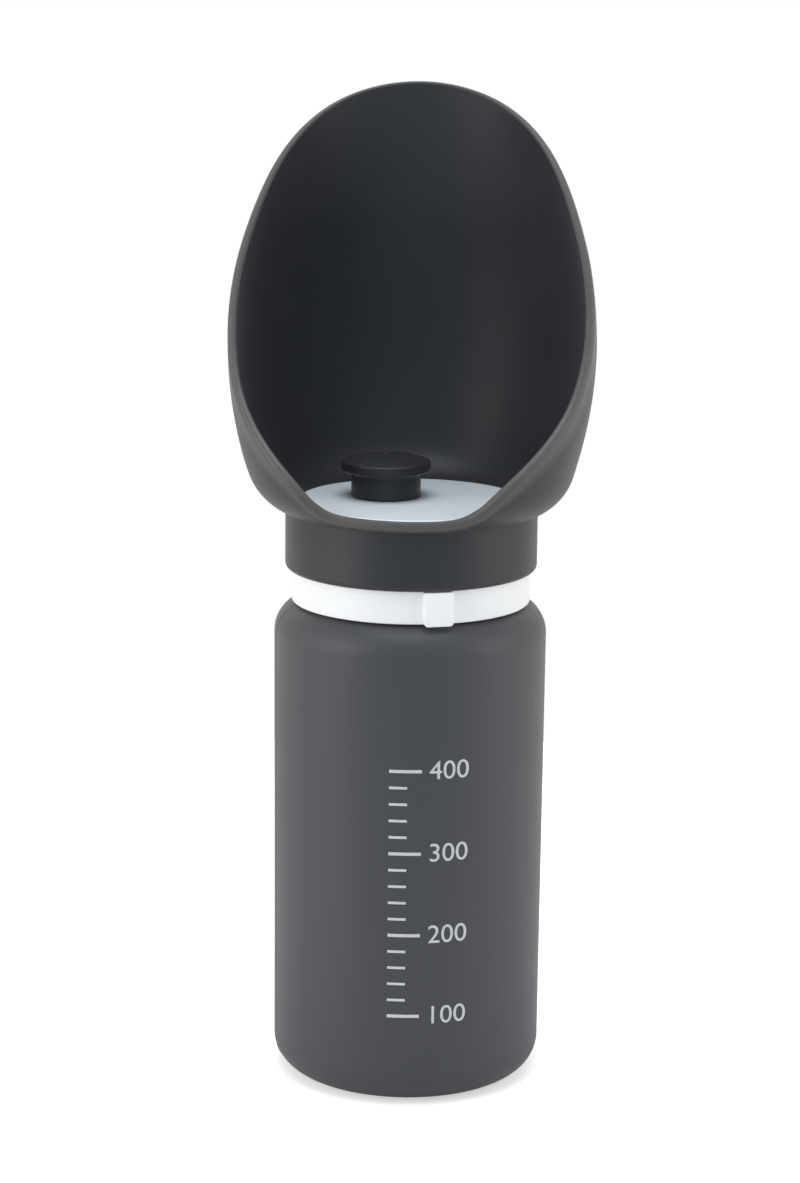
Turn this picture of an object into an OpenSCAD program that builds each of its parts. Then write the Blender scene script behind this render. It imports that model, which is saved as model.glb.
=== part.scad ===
// Dog travel water bottle: a squeeze bottle whose screw cap carries a soft scoop bowl and a stopper.
// Millimetres, +Z up. The origin is the middle of the base, on the bottle's axis. The bowl opens to -Y.
// Angles round the axis are turned from the front (-Y) towards +X.

/* [Bottle] */
// Radius of the body under the shoulder
bottle_r = 38.5; // [32:0.5:48]
// How much narrower the body is at the base
bottle_taper = 0.5; // [0:0.1:2]
// Height of the body, base to the top of the shoulder
shoulder_z = 137.9; // [110:0.1:170]
// Rounding of the shoulder
shoulder_round = 9; // [5:0.5:12]
// Rounding round the base
base_round = 10.5; // [5:0.5:14]
// Thickness of the moulded wall
bottle_wall = 1.6; // [1:0.1:2.4]
// Thickness of the base
base_t = 2.4; // [1.8:0.1:4]
// Depth of the stiffening channel under the base
channel_depth = 0.8; // [0.3:0.1:1.2]
// Inner radius of that channel
channel_in_r = 13; // [8:0.5:16]
// Width of that channel
channel_w = 7; // [3:0.5:9]

/* [Neck and thread] */
// Height of the neck above the shoulder
neck_h = 22.1; // [18:0.1:30]
// Thickness of the neck wall
neck_wall = 2.1; // [1.6:0.1:3]
// Rise of the thread in one turn
thread_pitch = 6; // [5:0.25:7.5]
// How far a thread stands out
thread_depth = 1.5; // [1:0.1:1.8]
// Turns of thread on the neck
neck_turns = 1.25; // [1:0.05:1.5]
// Turns of thread inside the cap
cap_turns = 0.9; // [0.6:0.05:1.1]

/* [Screw cap] */
// How far the cap stands back from the bottle's side
cap_step = 4.9; // [3:0.1:7]
// Thickness of the cap's wall
cap_wall = 2; // [1.6:0.1:2.6]
// Thickness of the deck across its top
deck_t = 1.6; // [1.2:0.1:2.4]
// Angle of the thumb lug from the front
lug_angle = 12.8; // [-60:0.2:60]
// Width of the thumb lug
lug_w = 8.2; // [5:0.1:12]
// How far the lug stands out of the cap
lug_out = 2.2; // [1:0.1:3.5]
// How far the lug reaches below the cap's edge
lug_below = 0.5; // [0:0.1:0.6]

/* [Outlet plate and seals] */
// How far the plate's edge stands back from the cap's side
plate_step = 1.8; // [1:0.1:3]
// Thickness of the plate
plate_t = 2.2; // [1.6:0.1:3]
// Thickness of the plate's rim, over the bowl's lip
rim_t = 1.4; // [1:0.1:1.8]
// How far the plate's spigot stands back from the bottle's mouth
spigot_step = 1; // [0.5:0.1:3]
// Thickness of the spigot's wall
spigot_wall = 2; // [1.2:0.1:2.6]
// Distance of the port from the axis, towards +X
port_x = -7.3; // [-10:0.1:10]
// Distance of the port from the axis, towards +Y
port_y = 4.2; // [-10:0.1:10]
// Radius of the port
port_r = 7.6; // [5:0.1:9]
// Length of the port's tube under the plate
port_len = 6.5; // [4:0.5:12]
// Thickness of the cap's flat seal on the neck
seal_t = 1.8; // [1.2:0.1:2.6]

/* [Stopper] */
// Width of the foot's seat round the port
foot_seat = 2.2; // [1.2:0.1:3]
// Height of the foot
foot_h = 6.2; // [4:0.1:10]
// How far the finger flange stands out past the foot
flange_out = 2.85; // [2:0.05:4]
// Thickness of the flange's edge
flange_t = 2.8; // [2:0.1:4]
// Height of the crown above the flange
crown_h = 2; // [1:0.1:4]
// Length of the stem in the port
stem_len = 10.5; // [6:0.5:14]
// Thickness of the stem's wall
stem_wall = 2.2; // [1.6:0.1:3]

/* [Scoop bowl] */
// Thickness of the silicone wall
bowl_wall = 2.6; // [1.8:0.1:3.2]
// Thickness of the collar round the cap
collar_t = 1.83; // [1.4:0.01:2.6]
// How far the collar reaches down the cap
collar_h = 16.9; // [12:0.1:20]
// Rounding of the collar's lower edge
collar_round = 1.5; // [0.8:0.1:1.7]
// Rounding under the bowl, at the crease
corner_round = 17; // [10:0.5:20]
// How far the bowl swells out past its collar
belly_out = 16.2; // [12:0.1:20]
// Height of that radius above the bowl's floor
belly_h = 44.6; // [36:0.1:54]
// Curve of the wall just above it
upper_curve_r = 96; // [80:1:140]
// Angle at which the wall draws in above that curve
taper = 10.5; // [6:0.5:14]
// Height of the back rim above the floor
rim_back_h = 114.3; // [95:0.1:138]
// Height of the front lip above the floor
rim_front_h = 0.7; // [0:0.1:6]
// How far the front lip stands out past the collar
front_reach = 5.3; // [3:0.1:8]
// Slope of the mouth at the front lip
mouth_front_slope = 60; // [50:1:65]
// How long that slope holds
mouth_front_run = 47; // [30:1:55]
// Slope of the mouth at the back rim
mouth_back_slope = 38; // [30:1:50]
// How long that slope holds
mouth_back_run = 33; // [20:1:45]
// Turn of the bowl on the cap, as it was left
bowl_turn = -6; // [-30:0.5:30]
// Sideways lean of the mouth
mouth_lean = 3.5; // [-5:0.5:5]

/* [Hidden] */
$fn = 96;

// Clearances between pieces that turn, slide or are lifted off
slide_gap = 0.08;    // a sliding or turning fit, on the radius
free_gap = 0.3;      // beside a piece that only passes
seat_gap = 0.05;     // under a piece that rests on a flat seat
thread_gap = 0.5;    // from a thread's crest to the other wall
cap_gap = 0.1;       // from the shoulder's top up to the cap's lower edge
chamfer = 0.5;       // broken edges
plate_proud = 0.4;   // from the bowl's floor up to the top of the plate
seal_w = 3;          // from the plate's spigot out to the bowl's lip

// Heights that follow from one another
neck_top_z = shoulder_z + neck_h;
cap_z = shoulder_z + cap_gap;
deck_under_z = neck_top_z + seal_t + 2 * seat_gap;
deck_top_z = deck_under_z + deck_t;
floor_under_z = deck_top_z + seat_gap;
floor_z = floor_under_z + bowl_wall;
lip_t = bowl_wall + plate_proud - seat_gap - rim_t;
plate_top_z = floor_under_z + lip_t + seat_gap + rim_t;
collar_z = deck_top_z - collar_h;

// Radii that follow from one another
cap_r = bottle_r - cap_step;
cap_in_r = cap_r - cap_wall;
neck_r = cap_in_r - thread_depth - thread_gap;
neck_in_r = neck_r - neck_wall;
spigot_r = neck_in_r - spigot_step;
deck_in_r = spigot_r + slide_gap;
lip_in_r = spigot_r + seal_w;
plate_r = cap_r - plate_step;
collar_in_r = cap_r + slide_gap;
collar_r = collar_in_r + collar_t;
belly_r = collar_r + belly_out;
foot_r = port_r + foot_seat;
flange_r = foot_r + flange_out;

function arc(c, r, a0, a1, n) =
    [for (i = [0 : n]) let (a = a0 + (a1 - a0) * i / n) c + r * [cos(a), sin(a)]];

// ---- bottle ----
shoulder_c = [bottle_r - shoulder_round, shoulder_z - shoulder_round];
base_c = [bottle_r - bottle_taper - base_round, base_round];

// Angle at which the shoulder's arc, of radius a, meets a neck of radius r
function shoulder_end(r, a) = r > shoulder_c[0] ? acos((r - shoulder_c[0]) / a) : 90;

// Outline of the body, moved inwards by d, with its floor and a neck of radius r up to a height top
function bottle_line(d, floor, r, top, top_chamfer) = concat(
    [[0, floor]],
    arc(base_c, base_round - d, -90, 0, 8),
    arc(shoulder_c, shoulder_round - d, 0, shoulder_end(r, shoulder_round - d), 9),
    r < shoulder_c[0] ? [[r, shoulder_z - d]] : [],
    [[r, top - top_chamfer], [r - top_chamfer, top], [0, top]]);

// One thread, as a ring of four points for each step of a helix.
// line holds [radius, height] points, anticlockwise, and wall is the radius that the ends fade into.
module thread(line, wall, z, turns) {
    steps = ceil(turns * 40);
    points = [for (i = [0 : steps], p = line)
        let (a = 360 * turns * i / steps,
             fade = min(1, (min(i, steps - i) + 0.5) / 6),
             r = wall + (p[0] - wall) * fade)
        [r * cos(a), r * sin(a), z + p[1] + thread_pitch * a / 360]];
    faces = concat(
        [[0, 3, 2, 1], [for (k = [0 : 3]) 4 * steps + k]],
        [for (i = [0 : steps - 1], k = [0 : 3])
            let (m = 4 * i + k, n = 4 * i + (k + 1) % 4)
            each [[m, n, n + 4], [m, n + 4, m + 4]]]);
    polyhedron(points, faces, convexity = 6);
}

thread_root = 1.25;    // half the thread's width at the wall
thread_crest = 0.65;   // half its width at the crest
flank_gap = 0.35;      // between the flanks that pull the cap down
thread_sink = 0.3;     // how deep a thread's foot lies in its wall
neck_thread_z = neck_top_z - 3.2 - thread_root - neck_turns * thread_pitch;
cap_thread_z = neck_thread_z - thread_root - thread_crest - flank_gap;

module neck_thread()
    thread([[neck_r - thread_sink, -thread_root], [neck_r + thread_depth, -thread_crest],
            [neck_r + thread_depth, thread_crest], [neck_r - thread_sink, thread_root]],
           neck_r - thread_sink, neck_thread_z, neck_turns);

module cap_thread()
    thread([[cap_in_r - thread_depth, -thread_crest], [cap_in_r + thread_sink, -thread_root],
            [cap_in_r + thread_sink, thread_root], [cap_in_r - thread_depth, thread_crest]],
           cap_in_r + thread_sink, cap_thread_z, cap_turns);

module bottle()
    color("#4b4c4e") difference() {
        union() {
            rotate_extrude() polygon(bottle_line(0, 0, neck_r, neck_top_z, chamfer));
            neck_thread();
        }
        rotate_extrude() polygon(bottle_line(bottle_wall, base_t, neck_in_r, neck_top_z + 1, 0.01));
        rotate_extrude() translate([channel_in_r, -1]) square([channel_w, channel_depth + 1]);
    }

// ---- seals ----
module ring(inner, outer, z, h)
    translate([0, 0, z]) difference() {
        cylinder(r = outer, h = h);
        translate([0, 0, -1]) cylinder(r = inner, h = h + 2);
    }

module cap_seal()
    color("#c9cccd") ring(neck_in_r + 0.1, cap_in_r - free_gap, neck_top_z + seat_gap, seal_t);

module plate_seal()
    color("#c9cccd")
        ring(deck_in_r, lip_in_r - free_gap, deck_top_z, plate_top_z - rim_t - deck_top_z);

// ---- screw cap ----
cap_line = [
    [cap_in_r, cap_z + chamfer], [cap_in_r + chamfer, cap_z], [cap_r - chamfer / 2, cap_z],
    [cap_r, cap_z + chamfer / 2], [cap_r, deck_top_z - chamfer / 2], [cap_r - chamfer / 2, deck_top_z],
    [deck_in_r, deck_top_z], [deck_in_r, deck_under_z], [cap_in_r, deck_under_z]];

lug_foot_r = cap_r - cap_wall / 2;
lug_top_z = collar_z - free_gap;
lug_low_z = cap_z - lug_below;
lug_bevel = 3;      // height of the bevel at its top
lug_top_out = 0.4;  // how far it still stands out at the top
lug_round = 1.1;    // rounding of its lower corners

// The lug seen from the side, with its bevelled top
lug_side = [
    [lug_foot_r, lug_low_z], [cap_r + lug_out - chamfer, lug_low_z], [cap_r + lug_out, lug_low_z + chamfer],
    [cap_r + lug_out, lug_top_z - lug_bevel], [cap_r + lug_top_out, lug_top_z], [lug_foot_r, lug_top_z]];

// The lug seen from the front, with its rounded lower corners
module lug_front() {
    translate([-lug_w / 2, lug_low_z + lug_round]) square([lug_w, lug_top_z - lug_low_z]);
    translate([-lug_w / 2 + lug_round, lug_low_z]) square([lug_w - 2 * lug_round, lug_round + 1]);
    for (s = [-1, 1])
        translate([s * (lug_w / 2 - lug_round), lug_low_z + lug_round]) circle(r = lug_round, $fn = 32);
}

module lug()
    rotate([0, 0, lug_angle]) intersection() {
        rotate([90, 0, -90]) linear_extrude(lug_w + 2, center = true) polygon(lug_side);
        rotate([90, 0, 0]) linear_extrude(cap_r + lug_out + 1) lug_front();
    }

module screw_cap()
    color("#f1f2f3") union() {
        rotate_extrude() polygon(cap_line);
        cap_thread();
        lug();
    }

// ---- outlet plate ----
rim_under_z = plate_top_z - rim_t;
web_under_z = plate_top_z - plate_t;
spigot_low_z = neck_top_z - 0.1;
bead_r = spigot_r + 0.55;   // the bead that snaps in under the deck
bead_h = 0.6;
bead_z = deck_under_z - seat_gap;
port_wall = 2;
port_low_z = web_under_z - port_len;

plate_line = [
    [0, web_under_z], [spigot_r - spigot_wall, web_under_z], [spigot_r - spigot_wall, spigot_low_z],
    [spigot_r - chamfer, spigot_low_z], [bead_r, bead_z - bead_h], [bead_r, bead_z], [spigot_r, bead_z],
    [spigot_r, rim_under_z], [plate_r, rim_under_z], [plate_r, plate_top_z - chamfer],
    [plate_r - chamfer, plate_top_z], [0, plate_top_z]];

module at_port() translate([port_x, port_y, 0]) children();

module outlet_plate()
    color("#eceeef") difference() {
        union() {
            rotate_extrude() polygon(plate_line);
            at_port() translate([0, 0, port_low_z]) cylinder(r = port_r + port_wall, h = port_len + 1);
        }
        at_port() translate([0, 0, port_low_z - 1]) cylinder(r = port_r, h = plate_t + port_len + 2);
    }

// ---- stopper ----
foot_z = plate_top_z + seat_gap;
flange_z = foot_z + foot_h;
stem_r = port_r - slide_gap;
stem_core_r = stem_r - 0.3;   // between the ribs
stem_in_r = stem_r - stem_wall;
stem_low_z = foot_z - stem_len;
stem_lead = 1.5;              // height of the tapered end that finds the port
rib_h = 1.4;
flare = 1.2;                  // hollow under the flange, where the foot flares out
under_round = 1.3;            // rounding of the flange's lower edge
over_round = 1.1;             // rounding of its upper edge
flange_top_z = flange_z + flare + flange_t;
crown_r = flange_r - over_round;
crown_curve = (crown_r * crown_r + crown_h * crown_h) / (2 * crown_h);
crown_turn = asin(crown_r / crown_curve);

// Foot, flared underside, rounded flange edge and crown
stopper_line = concat(
    [[0, foot_z], [foot_r - chamfer / 2, foot_z], [foot_r, foot_z + chamfer / 2]],
    arc([foot_r + flare, flange_z], flare, 180, 100, 4),
    arc([flange_r - under_round, flange_z + flare + under_round], under_round, -80, 0, 4),
    arc([crown_r, flange_top_z - over_round], over_round, 0, 80, 4),
    arc([0, flange_top_z + crown_h - crown_curve], crown_curve, 90 - crown_turn, 90, 6));

rib_line = [[stem_in_r, 0], [stem_core_r, 0], [stem_r, rib_h / 3], [stem_r, 2 * rib_h / 3],
            [stem_core_r, rib_h], [stem_in_r, rib_h]];

module stopper()
    color("#3f4245") at_port() difference() {
        union() {
            rotate_extrude() polygon(stopper_line);
            translate([0, 0, stem_low_z]) cylinder(r1 = stem_core_r - 0.7, r2 = stem_core_r, h = stem_lead);
            translate([0, 0, stem_low_z + stem_lead]) cylinder(r = stem_core_r, h = stem_len - stem_lead + 1);
            for (h = [0.2, 0.6])
                translate([0, 0, stem_low_z + h * stem_len]) rotate_extrude() polygon(rib_line);
        }
        translate([0, 0, stem_low_z - 1]) cylinder(r = stem_in_r, h = stem_len + foot_h);
    }

// ---- scoop bowl ----
crease_z = deck_top_z - 1.3;   // where the collar ends and the bowl swells out
corner_end = 67.5;   // where the corner's arc meets the collar, in degrees under the horizontal
corner_r = min(corner_round, 1.45 * (belly_r - collar_r));
corner_c = [collar_r - corner_r * cos(corner_end), crease_z + corner_r * sin(corner_end)];
belly_z = floor_z + belly_h;
belly_d = [belly_r, belly_z] - corner_c;
lower_curve_r = (belly_d * belly_d - corner_r * corner_r) / (2 * (belly_d[0] - corner_r));
lower_turn = asin(belly_d[1] / (lower_curve_r - corner_r));
rim_back_z = floor_z + rim_back_h;
rim_front_z = floor_z + rim_front_h;
taper_run = (rim_back_z - belly_z) / cos(taper) - upper_curve_r * tan(taper);
past_rim = 4;   // how far the uncut wall runs on past the back rim

// A point on the tapered wall, run above its lower curve, moved inwards by d
function tapered_wall(d, run) =
    [belly_r - upper_curve_r, belly_z] + (upper_curve_r - d) * [cos(taper), sin(taper)]
        + run * [-sin(taper), cos(taper)];

// The wall above the crease, moved inwards by d, from angle a0 of the corner's arc
function bowl_side(d, a0) = concat(
    arc(corner_c, corner_r - d, a0, -lower_turn, 7),
    arc([belly_r - lower_curve_r, belly_z], lower_curve_r - d, -lower_turn, 0, 8),
    arc([belly_r - upper_curve_r, belly_z], upper_curve_r - d, 0, taper, 5),
    [tapered_wall(d, taper_run + past_rim)]);

function reversed(list) = [for (i = [len(list) - 1 : -1 : 0]) list[i]];

floor_turn = asin((corner_c[1] - floor_z) / (corner_r - bowl_wall));
rebate_r = plate_r + free_gap;
bowl_line = concat(
    [[collar_in_r, collar_z]],
    arc([collar_r - collar_round, collar_z + collar_round], collar_round, -90, 0, 4),
    bowl_side(0, -corner_end),
    reversed(bowl_side(bowl_wall, -floor_turn)),
    [[rebate_r, floor_z], [rebate_r, floor_under_z + lip_t], [lip_in_r, floor_under_z + lip_t],
     [lip_in_r, floor_under_z], [collar_in_r, floor_under_z]]);

// The mouth seen from the side: a curve from the front lip, along its slope, to the back rim
front_lip = [-(collar_r + front_reach), rim_front_z];
back_rim = tapered_wall(0, taper_run);
mouth_front_dir = [cos(mouth_front_slope), sin(mouth_front_slope)];
mouth_back_dir = [cos(mouth_back_slope), sin(mouth_back_slope)];

function bezier(p, n) =
    [for (i = [0 : n]) let (t = i / n, u = 1 - t)
        u * u * u * p[0] + 3 * t * u * u * p[1] + 3 * t * t * u * p[2] + t * t * t * p[3]];

mouth_line = concat(
    [front_lip - 12 * mouth_front_dir],
    bezier([front_lip, front_lip + mouth_front_run * mouth_front_dir,
            back_rim - mouth_back_run * mouth_back_dir, back_rim], 18),
    [back_rim + 20 * mouth_back_dir]);
below_mouth = concat([[-2 * belly_r, 0]], mouth_line, [[2 * belly_r, rim_back_z], [2 * belly_r, 0]]);

module bowl()
    color("#4d4f51") rotate([0, 0, bowl_turn]) intersection() {
        rotate_extrude() polygon(bowl_line);
        translate([0, 0, belly_z]) rotate([0, mouth_lean, 0]) translate([0, 0, -belly_z])
            rotate([90, 0, 90]) linear_extrude(4 * belly_r, center = true) polygon(below_mouth);
    }

bottle();
cap_seal();
screw_cap();
outlet_plate();
plate_seal();
bowl();
stopper();
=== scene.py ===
"""A dog's travel water bottle: squeeze bottle, screw cap with an outlet plate, stopper and scoop bowl.

Laid out as a Blender add-on, and run as a script. Lengths are in metres, in the frame of the CAD model:
the origin is the middle of the base, +Z is up, and the bowl opens towards -Y.
"""
from contextlib import contextmanager
from math import asin, atan2, cos, pi, radians, sin, tan

import bmesh
import bpy
from bpy.props import FloatProperty, FloatVectorProperty, PointerProperty
from bpy.types import Operator, Panel, PropertyGroup
from mathutils import Matrix, Vector


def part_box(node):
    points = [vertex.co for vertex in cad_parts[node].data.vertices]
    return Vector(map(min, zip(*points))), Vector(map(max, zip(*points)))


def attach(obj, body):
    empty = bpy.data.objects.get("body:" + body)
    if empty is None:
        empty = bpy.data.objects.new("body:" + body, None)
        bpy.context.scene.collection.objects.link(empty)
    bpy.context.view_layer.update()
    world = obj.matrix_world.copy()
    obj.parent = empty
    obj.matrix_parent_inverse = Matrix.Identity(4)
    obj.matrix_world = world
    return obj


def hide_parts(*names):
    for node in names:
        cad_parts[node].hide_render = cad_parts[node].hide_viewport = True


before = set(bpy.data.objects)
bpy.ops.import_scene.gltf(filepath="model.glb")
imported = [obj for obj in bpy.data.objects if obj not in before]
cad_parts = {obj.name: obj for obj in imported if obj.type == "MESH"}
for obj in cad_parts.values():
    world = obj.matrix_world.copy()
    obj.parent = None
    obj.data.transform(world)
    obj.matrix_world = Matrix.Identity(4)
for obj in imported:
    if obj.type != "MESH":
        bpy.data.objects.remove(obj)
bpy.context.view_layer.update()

bl_info = {
    "name": "Dog travel water bottle",
    "version": (1, 0, 0),
    "blender": (4, 5, 0),
    "location": "View3D > Sidebar > Water bottle",
    "description": "Builds a dog's travel water bottle with its bowl and stopper, and its stage",
    "category": "Add Mesh",
}

MM = 0.001

# Places that the frame gives
_, BOTTLE_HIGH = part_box("bottle")
CAP_LOW, CAP_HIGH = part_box("screw_cap")
PLATE_LOW, PLATE_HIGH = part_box("outlet_plate")
BOWL_LOW, BOWL_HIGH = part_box("bowl")
STOPPER_LOW, STOPPER_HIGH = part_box("stopper")

NECK_TOP = BOTTLE_HIGH.z
DECK_TOP = CAP_HIGH.z
PLATE_RADIUS = PLATE_HIGH.x
PLATE_TOP = PLATE_HIGH.z
PORT = ((STOPPER_LOW.x + STOPPER_HIGH.x) / 2, (STOPPER_LOW.y + STOPPER_HIGH.y) / 2)

ROUND = 180                  # faces round a piece
BOWL_ROUND = 240             # faces round the bowl, whose mouth shows them most
SMOOTH_BELOW = radians(32)   # edges flatter than this are shaded as smooth
SLIDE_GAP = 0.08 * MM
SEAT_GAP = 0.05 * MM
SPIGOT_RADIUS = 26.5 * MM

# The thread that the neck and the cap share. Its ridge is higher at its root than at its crest.
THREAD_PITCH = 6 * MM
THREAD_ROOT = 1.25 * MM      # half the ridge's height at its root
THREAD_CREST = 0.65 * MM     # half its height at its crest
THREAD_DEPTH = 1.5 * MM
THREAD_SUNK = 0.3 * MM       # how far the root is sunk into its wall
THREAD_DROP = 3.2 * MM       # from the neck's top down to the thread
THREAD_GAP = 0.35 * MM
NECK_TURNS = 1.25
CAP_TURNS = 0.9
NECK_THREAD_LOW = NECK_TOP - THREAD_DROP - THREAD_ROOT - NECK_TURNS * THREAD_PITCH

# The bowl's mouth from the side, as measured on the photograph: height, and how far back, in mm
MOUTH = ((167, -36.35), (170, -36.85), (175, -36.35), (182, -32.3), (190, -25.7), (198, -18.8),
         (208, -12.05), (220, -5.05), (232, 1.4), (244, 8.05), (255, 14.9), (262, 20.1), (268, 25.35),
         (273, 30.4), (277, 35), (280.9, 40))

# Rings of the bowl's mesh: up its outside, round the two halves of its rim, and down its inside
OUTSIDE_RINGS, RIM_OUT_RINGS, RIM_IN_RINGS, INSIDE_RINGS = 44, 7, 6, 40


# ---- sizes and colours that a user may change ----

def length(label, value, about):
    return FloatProperty(name=label, description=about, default=value * MM, min=0, unit='LENGTH',
                         precision=5)


def angle(label, value, about):
    return FloatProperty(name=label, description=about, default=radians(value), unit='ROTATION')


def linear(code):
    """An sRGB hex colour as linear red, green and blue."""
    parts = [int(code[i:i + 2], 16) / 255 for i in (1, 3, 5)]
    return [c / 12.92 if c <= 0.04045 else ((c + 0.055) / 1.055) ** 2.4 for c in parts]


def colour(label, code, about):
    return FloatVectorProperty(name=label, description=about, default=linear(code), min=0, max=1,
                               size=3, subtype='COLOR')


class BottleSizes(PropertyGroup):
    taper: length("Taper", 0.3, "How much narrower the body is at its base")
    shoulder_height: length("Shoulder height", 137.9, "Height of the shoulder above the base")
    shoulder_round: length("Shoulder rounding", 9, "Rounding of the shoulder")
    base_round: length("Base rounding", 9.3, "Rounding of the base")
    wall: length("Wall", 1.6, "Thickness of the wall")
    floor: length("Floor", 2.4, "Thickness of the floor")
    neck_radius: length("Neck radius", 29.6, "Outer radius of the neck")
    neck_wall: length("Neck wall", 2.1, "Thickness of the neck")
    channel_radius: length("Channel radius", 13, "Inner radius of the ring channel under the base")
    channel_width: length("Channel width", 7, "Width of that channel")
    channel_depth: length("Channel depth", 0.8, "Depth of that channel")
    seam_angle: angle("Seam", -78, "Where the mould's seam runs, from the front towards +X")
    seam_width: length("Seam width", 0.7, "Width of the seam")
    seam_height: length("Seam height", 0.13, "How far the seam stands out")


class ScaleSizes(PropertyGroup):
    low_mark: length("Lowest mark", 27, "Height of the lowest numbered mark")
    mark_step: length("Step", 23.6, "Height from one numbered mark to the next")
    side_angle: angle("Place", 8.5, "Where the scale's middle is, from the front towards +X")
    long_tick: length("Long tick", 9, "Length of a numbered tick")
    short_tick: length("Short tick", 5, "Length of a plain tick")
    tick_height: length("Tick width", 0.9, "Width of a tick's line")
    figure_height: length("Figures", 7.4, "Height of the figures")
    ink: length("Ink", 0.06, "Thickness of the ink")


class CapSizes(PropertyGroup):
    radius: length("Radius", 33.6, "Outer radius of the skirt")
    wall: length("Wall", 2, "Thickness of the skirt")
    low_gap: length("Gap", 0.1, "Gap between the shoulder and the skirt")
    deck: length("Deck", 1.6, "Thickness of the deck over the neck")
    lug_angle: angle("Lug", 12.8, "Where the lug is, from the front towards +X")
    lug_width: length("Lug width", 8.2, "Width of the lug")
    lug_out: length("Lug reach", 2.2, "How far the lug stands out")
    lug_bevel: length("Lug bevel", 3.8, "Height of the bevel at the lug's top")
    plate: length("Plate", 2.2, "Thickness of the outlet plate")
    plate_rim: length("Plate rim", 1.4, "Thickness of the plate's rim")
    spigot_wall: length("Spigot wall", 2, "Thickness of the plate's spigot")
    port_radius: length("Port", 7.6, "Radius of the port")


class StopperSizes(PropertyGroup):
    foot_height: length("Foot height", 6.2, "Height of the straight foot")
    foot_step: length("Foot step", 2.85, "How far the flange stands out past the foot")
    crown: length("Crown", 2, "Height of the crown over the flange")
    stem_wall: length("Stem wall", 2.2, "Thickness of the hollow stem")
    seam_angle: angle("Seam", -35, "Where the mould's seam crosses, from the front towards +X")
    seam_width: length("Seam width", 0.5, "Width of the seam")
    seam_height: length("Seam height", 0.18, "How far the seam stands out")
    gate: length("Gate", 0.9, "Radius of the small mark that the mould's gate leaves")


class BowlSizes(PropertyGroup):
    wall: length("Wall", 2.6, "Thickness of the wall")
    collar_wall: length("Collar wall", 1.83, "Thickness of the collar")
    collar_round: length("Collar rounding", 1.5, "Rounding of the collar's lower edge")
    collar_lift: length("Collar lift", 0.65, "How far the collar's foot stays above its place in the frame")
    corner_round: length("Corner rounding", 16.5, "Rounding under the bowl")
    corner_start: angle("Corner start", 70, "How steeply under the bowl that rounding starts")
    belly_out: length("Belly", 15.8, "How far the bowl swells out past its collar")
    belly_height: length("Belly height", 44.6, "Height of that radius above the floor")
    upper_radius: length("Upper curve", 133, "Radius of the wall's curve above it")
    taper: angle("Taper", 11.5, "How the wall draws in above that curve")
    rim_outer: length("Rim, outside", 1.75, "Rounding of the rim's outer edge")
    rim_inner: length("Rim, inside", 0.7, "Rounding of the rim's inner edge")
    lip_drop: length("Lip", 0.39, "How far below the floor the mouth is at the collar's front")
    lip_slope: angle("Lip slope", 6, "Rise of the front lip towards the back")
    lip_round: length("Lip rounding", 1.5, "Rounding where the lip meets the mouth's sides")
    turn: angle("Turn", -6, "Turn of the bowl on the cap")
    lean: angle("Lean", 1.27, "Sideways lean of the mouth")
    belly_sway: length("Belly sway", 0.37, "How far the soft wall stands over to -X at its belly")
    top_sway: length("Top sway", 1.6, "How far it stands over at its top")


class Finishes(PropertyGroup):
    bottle: colour("Bottle", "#3a3c3f", "Soft-touch polyethylene")
    bowl: colour("Bowl", "#222528", "Moulded silicone")
    # The bowl's rim tone is a painted highlight: a paler grey that stands in for the light that the rim
    # catches.
    bowl_rim_highlight: colour("Bowl's rim", "#4e4b4a", "The same silicone, paler where it is trimmed")
    stopper: colour("Stopper", "#292b2e", "Satin silicone")
    cap: colour("Cap", "#f7f7f6", "Polypropylene of the cap")
    # The plate's white is greyer and cooler than the cap's: painted shade for the dark bowl that it sits in.
    plate: colour("Plate", "#e2e7e9", "Polypropylene of the plate")
    seal: colour("Seals", "#c9cccb", "Translucent silicone")
    ink: colour("Ink", "#c6c7c8", "Printed scale")
    floor: colour("Floor", "#dededd", "Floor")


class WaterBottle(PropertyGroup):
    bottle: PointerProperty(type=BottleSizes)
    scale: PointerProperty(type=ScaleSizes)
    cap: PointerProperty(type=CapSizes)
    stopper: PointerProperty(type=StopperSizes)
    bowl: PointerProperty(type=BowlSizes)
    finish: PointerProperty(type=Finishes)


# ---- modelling ----

def activate(piece, *others):
    if bpy.context.mode != 'OBJECT':
        bpy.ops.object.mode_set(mode='OBJECT')
    bpy.ops.object.select_all(action='DESELECT')
    for each in (*others, piece):
        each.select_set(True)
    bpy.context.view_layer.objects.active = piece


@contextmanager
def editing(piece, kind='VERT'):
    """Edit mode, with nothing selected."""
    activate(piece)
    bpy.ops.object.mode_set(mode='EDIT')
    bpy.ops.mesh.select_mode(type=kind)
    bpy.ops.mesh.select_all(action='DESELECT')
    yield
    bpy.ops.object.mode_set(mode='OBJECT')


def pick(kind, test):
    """Select what passes the test: kind is verts, edges or faces."""
    mesh = bpy.context.object.data
    work = bmesh.from_edit_mesh(mesh)
    found = [part for part in getattr(work, kind) if test(part)]
    if not found:
        raise RuntimeError(f"nothing to select on {bpy.context.object.name}")
    for part in found:
        part.select_set(True)
    work.select_flush_mode()
    bmesh.update_edit_mesh(mesh)


def close_up(piece):
    """Merge what the spin doubled, and turn the faces outwards."""
    with editing(piece):
        bpy.ops.mesh.select_all(action='SELECT')
        bpy.ops.mesh.remove_doubles(threshold=0.0005 * MM)
        bpy.ops.mesh.normals_make_consistent(inside=False)


def arc(centre, radius, start, end, count):
    return [(centre[0] + radius * cos(start + (end - start) * i / count),
             centre[1] + radius * sin(start + (end - start) * i / count)) for i in range(count + 1)]


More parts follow.
